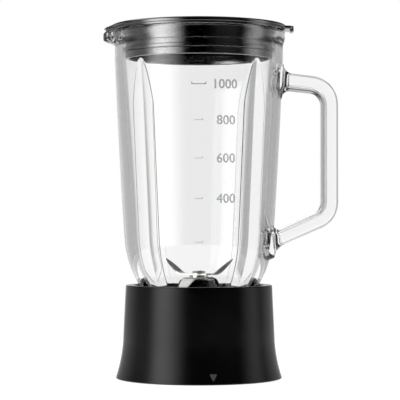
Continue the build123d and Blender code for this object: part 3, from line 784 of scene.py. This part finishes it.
def make_collar():
    """Flared shell with a rounded top edge."""
    flare = arc_through(*COLLAR_FLARE, 18)
    inside = [(r - 2.2, z) for r, z in reversed(arc_through((58.0, 0.0), *COLLAR_FLARE[1:], 14))]
    top = rounded([
        flare[-1], (COLLAR_RIM_R, COLLAR_TOP, 0.9), (COLLAR_RING_R, COLLAR_TOP, 0.7),
        (COLLAR_RING_R, 57.0, 0.4), (49.25, 57.0), inside[0],
    ], closed=False)
    section = flare + top[1:-1] + inside + [(57.3, 0.0)]
    collar = lathe("collar_outer_shell", split(section + section[:1], 5.0)[:-1], around=360, sharp_angle=35.0)
    finish_piece(collar, "collar", "matte_black", ["collar_shell"])


def make_lock_arrow():
    """Small triangle at the foot of the collar that shows where the lock closes."""
    across, low, high, half = 9.7, 2.3, 7.3, 2.6
    corners = [(-half, high, 0.3), (0.0, low, 0.3), (half, high, 0.3)]
    outline = split(rounded(corners, 3) + rounded(corners, 3)[:1], 0.8)[:-1]
    relief = 0.12
    arrow = plate("lock_arrow", outline, -relief, relief)
    flare = arc_through(*COLLAR_FLARE, 60)
    for vertex in arrow.data.vertices:
        height = vertex.co.y / MM
        radius = min(flare, key=lambda p: abs(p[1] - height))[0] + vertex.co.z / MM
        angle = math.radians(FRONT) + math.asin(across / radius) + vertex.co.x / MM / radius
        vertex.co = Vector((radius * math.cos(angle), radius * math.sin(angle), height)) * MM
    tint = plastic_material("arrow_print", (0.06, 0.06, 0.06), (0.08, 0.08, 0.08), (0.5, 0.6), 900.0, 0.01)
    finish_piece(arrow, "collar", "matte_black", material=tint)


make_collar()
make_lock_arrow()


# ---- blades --------------------------------------------------------------------------------------

def upper_blade_steel(flat_top):
    """Stainless sheet with grinding lines, whose wings, above the flat middle, carry painted shade: a
    near-black colour in place of the dark reflection they show.
    """
    n = Nodes("steel_painted_shade_wings")
    lines = n.noise(420.0, detail=5.0, roughness=0.6, stretch=(1, 1, 8))
    split_place = n.add("ShaderNodeSeparateXYZ")
    n.link(n.place, split_place, "Vector")
    # painted shade: the colour turns near-black above the flat middle, for the dark reflection on the wings
    height = n.ramp(split_place.outputs["Z"], (flat_top + 0.2) * MM, (flat_top + 2.4) * MM, 0.0, 1.0)
    mix = n.add("ShaderNodeMix", data_type="RGBA")
    n.link(height, mix, "Factor")
    mix.inputs["A"].default_value = (0.60, 0.58, 0.56, 1)
    n.link(n.colours(lines, (0.05, 0.05, 0.05), (0.16, 0.16, 0.16)), mix, "B")
    n.link(mix.outputs["Result"], n.shader, "Base Color")
    n.link(n.ramp(lines, 0.3, 0.7, 0.2, 0.34), n.shader, "Roughness")
    n.set(Metallic=1.0)
    n.bump(lines, 0.004)
    return n.material


def make_blade(name, node, low, run, rise, degrees, material=None):
    """A thin blade with two wings bent the same way and ground along their leading edges."""
    thick, knee, bend, half, tip_half, rake = 1.0, 13.0, 2.6, 6.0, 0.7, 0.4
    slope = math.atan2(rise, run)
    reach = knee + run

    def middle(x):
        """Height and slope of the sheet's underside at a distance from the axis."""
        part = min(max((x - knee + bend) / (2 * bend), 0.0), 1.0)
        angle = slope * part
        flat = max(0.0, x - knee - bend)
        curve = bend * 2 * part * part / 2 * math.tan(slope)
        return low + curve + flat * math.tan(slope), angle

    stations = [0.0, 4.0, 8.0, 10.0] + [knee - bend + 2 * bend * n / 8 for n in range(9)]
    stations += [knee + bend + (reach - knee - bend) * n / 6 for n in range(1, 7)]
    stations = sorted(set(stations))
    vertices = []
    full = [-x for x in reversed(stations[1:])] + stations
    for x in full:
        z, angle = middle(abs(x))
        taper = max(0.0, (abs(x) - 11.0) / (reach - 11.0))
        width = half + (tip_half - half) * taper ** 3.2
        shift = rake * taper * (1 if x > 0 else -1)
        lead = 1 if x > 0 else -1
        grind = 2.2 * smoothstep(7.0, 12.0, abs(x))
        up = Vector((-math.sin(angle) * lead, 0, math.cos(angle)))
        edge = [(-width * lead, thick * 0.12), (-(width - grind) * lead, thick), (width * lead, thick),
                (width * lead, 0.0),
                (-width * lead, 0.0)]
        for y, lift in edge:
            vertices.append((x + up.x * lift, y + shift, z + up.z * lift))
    count = 5
    rows = len(full)
    faces = []
    order = []
    for row, x in enumerate(full):
        ids = [row * count + n for n in range(count)]
        if x <= 0:
            ids = [ids[2], ids[1], ids[0], ids[4], ids[3]]
        order.append(ids)
    for a, b in zip(order, order[1:]):
        faces += [(a[n], a[(n + 1) % count], b[(n + 1) % count], b[n]) for n in range(count)]
    faces += [tuple(order[0]), tuple(order[-1])]
    blade = new_object(name, vertices, faces, 20.0)
    angle = math.radians(degrees)
    for vertex in blade.data.vertices:
        x, y, z = vertex.co
        vertex.co = (x * math.cos(angle) - y * math.sin(angle), x * math.sin(angle) + y * math.cos(angle), z)
    finish_piece(blade, "rotor", "stainless_steel", [node], material=material)


make_blade("upper_blade_bent", "upper_blade", 73.0, 12.2, 10.4, 336.0, upper_blade_steel(74.0))
make_blade("lower_blade_bent", "lower_blade", 70.6, 11.5, -10.0, 55.0)


# ---- materials on the CAD nodes ------------------------------------------------------------------

slot_of = {part["node"]: part["material_slot"] for part in frame["record"]["subparts"]}
for node_name, node in frame["nodes"].items():
    node.data.materials.clear()
    node.data.materials.append(MATERIALS[slot_of[node_name]])


# ---- studio --------------------------------------------------------------------------------------

def make_floor():
    """Plain pale floor, a round sheet under the object."""
    reach, steps = 0.40, 96
    angles = [2 * math.pi * n / steps for n in range(steps)]
    ring = [(reach * math.cos(a), reach * math.sin(a), 0) for a in angles]
    mesh = bpy.data.meshes.new("studio_floor")
    mesh.from_pydata(ring, [], [tuple(range(steps))])
    floor = bpy.data.objects.new("studio_floor", mesh)
    floor.location.z = -0.0002
    bpy.context.scene.collection.objects.link(floor)
    n = Nodes("studio_floor")
    n.link(n.colours(n.noise(3.0), (0.29, 0.29, 0.29), (0.31, 0.31, 0.31)), n.shader, "Base Color")
    n.set(Roughness=0.9, Specular_IOR_Level=0.1, Emission_Color=(1, 1, 1, 1), Emission_Strength=0.97)
    mesh.materials.append(n.material)


class WorldNodes:
    """The studio round the object: a bright window behind it, two tall soft boxes and a soft top."""

    def __init__(self):
        world = bpy.data.worlds.new("studio")
        bpy.context.scene.world = world
        world.use_nodes = True
        self.tree = world.node_tree
        self.tree.nodes.clear()
        place = self.tree.nodes.new("ShaderNodeTexCoord").outputs["Generated"]
        parts = self.tree.nodes.new("ShaderNodeSeparateXYZ")
        self.tree.links.new(place, parts.inputs[0])
        self.bearing = self.math("ARCTAN2", parts.outputs["X"], parts.outputs["Y"])
        self.height = self.math("ARCSINE", parts.outputs["Z"])

    def math(self, operation, *values):
        node = self.tree.nodes.new("ShaderNodeMath")
        node.operation = operation
        for socket, value in zip(node.inputs, values):
            if isinstance(value, (int, float)):
                socket.default_value = value
            else:
                self.tree.links.new(value, socket)
        return node.outputs[0]

    def fall(self, value, inside, outside):
        """1 below inside, 0 above outside, in radians."""
        node = self.tree.nodes.new("ShaderNodeMapRange")
        node.interpolation_type = "SMOOTHSTEP"
        node.inputs["From Min"].default_value = inside
        node.inputs["From Max"].default_value = outside
        node.inputs["To Min"].default_value = 1.0
        node.inputs["To Max"].default_value = 0.0
        self.tree.links.new(value, node.inputs["Value"])
        return node.outputs["Result"]

    def panel(self, first, last, low, high, strength, soft=(3.0, 3.0), soft_up=6.0):
        """A soft-edged panel between two bearings and two heights, in degrees.

        A bearing is 0 straight behind the object and grows towards +X. soft gives how far the light
        takes to rise at each end.
        """
        degree = math.pi / 180
        middle, half = (first + last) / 2 * degree, (last - first) / 2 * degree
        off = self.math("SUBTRACT", self.bearing, middle)
        off = self.math("WRAP", off, math.pi, -math.pi)
        across = self.fall(off, half - soft[1] * degree, half)
        first_side = self.fall(self.math("MULTIPLY", off, -1.0), half - soft[0] * degree, half)
        across = self.math("MULTIPLY", across, first_side)
        up_middle, reach = (low + high) / 2 * degree, (high - low) / 2 * degree
        up = self.math("ABSOLUTE", self.math("SUBTRACT", self.height, up_middle))
        along = self.fall(up, reach - soft_up * degree, reach)
        return self.math("MULTIPLY", self.math("MULTIPLY", across, along), strength)


def make_studio():
    w = WorldNodes()
    panels = (
        w.panel(-19.5, 15.5, -34.0, 44.0, 0.53, soft=(4.0, 4.0), soft_up=10.0),
        w.panel(-80.0, 15.0, -18.0, 20.0, 0.44, soft=(25.0, 30.0), soft_up=7.0),
        w.panel(-15.0, 80.0, -18.0, 20.0, 0.40, soft=(30.0, 25.0), soft_up=7.0),
        w.panel(-110.0, 110.0, -90.0, 90.0, 0.03, soft=(20.0, 20.0), soft_up=0.01),
        w.panel(-164.0, -96.0, -60.0, 50.0, 3.25, soft=(40.0, 26.0), soft_up=22.0),
        w.panel(-120.0, -56.0, -30.0, 50.0, 0.28, soft=(10.0, 30.0), soft_up=22.0),
        w.panel(66.0, 118.0, -60.0, 50.0, 0.85, soft=(22.0, 26.0), soft_up=22.0),
        w.panel(110.0, 175.0, -30.0, 50.0, 0.05, soft=(20.0, 40.0), soft_up=22.0),
        w.panel(-100.0, -10.0, 34.0, 74.0, 1.3, soft=(20.0, 20.0), soft_up=12.0),
        w.panel(-179.9, 179.9, 60.0, 120.0, 0.20, soft=(0.1, 0.1), soft_up=10.0),
    )
    light = 0.0
    for panel in panels:
        light = w.math("ADD", light, panel)
    # the camera sees plain white; every other ray sees the panels
    seen = w.tree.nodes.new("ShaderNodeLightPath").outputs["Is Camera Ray"]
    background = w.tree.nodes.new("ShaderNodeBackground")
    strength = w.tree.nodes.new("ShaderNodeMix")
    strength.data_type = "FLOAT"
    w.tree.links.new(seen, strength.inputs["Factor"])
    w.tree.links.new(light, strength.inputs["A"])
    strength.inputs["B"].default_value = 1.0
    background.inputs["Color"].default_value = (1, 1, 1, 1)
    w.tree.links.new(strength.outputs["Result"], background.inputs["Strength"])
    output = w.tree.nodes.new("ShaderNodeOutputWorld")
    w.tree.links.new(background.outputs[0], output.inputs["Surface"])


def make_camera():
    """Level with the middle of the jug, far enough back to flatten it."""
    camera = bpy.data.objects.new("camera", bpy.data.cameras.new("camera"))
    bpy.context.scene.collection.objects.link(camera)
    camera.data.sensor_width = 36.0
    camera.data.lens = 155.25
    camera.location = (0.77 * MM, -1207.0 * MM, 109.5 * MM)
    camera.rotation_euler = (math.radians(90.7), 0, 0)
    camera.data.clip_start = 0.05
    camera.data.clip_end = 60.0
    bpy.context.scene.camera = camera


make_floor()
make_studio()
make_camera()
scene = bpy.context.scene
scene.view_settings.view_transform = "Standard"
scene.cycles.max_bounces = 24
scene.cycles.transmission_bounces = 20
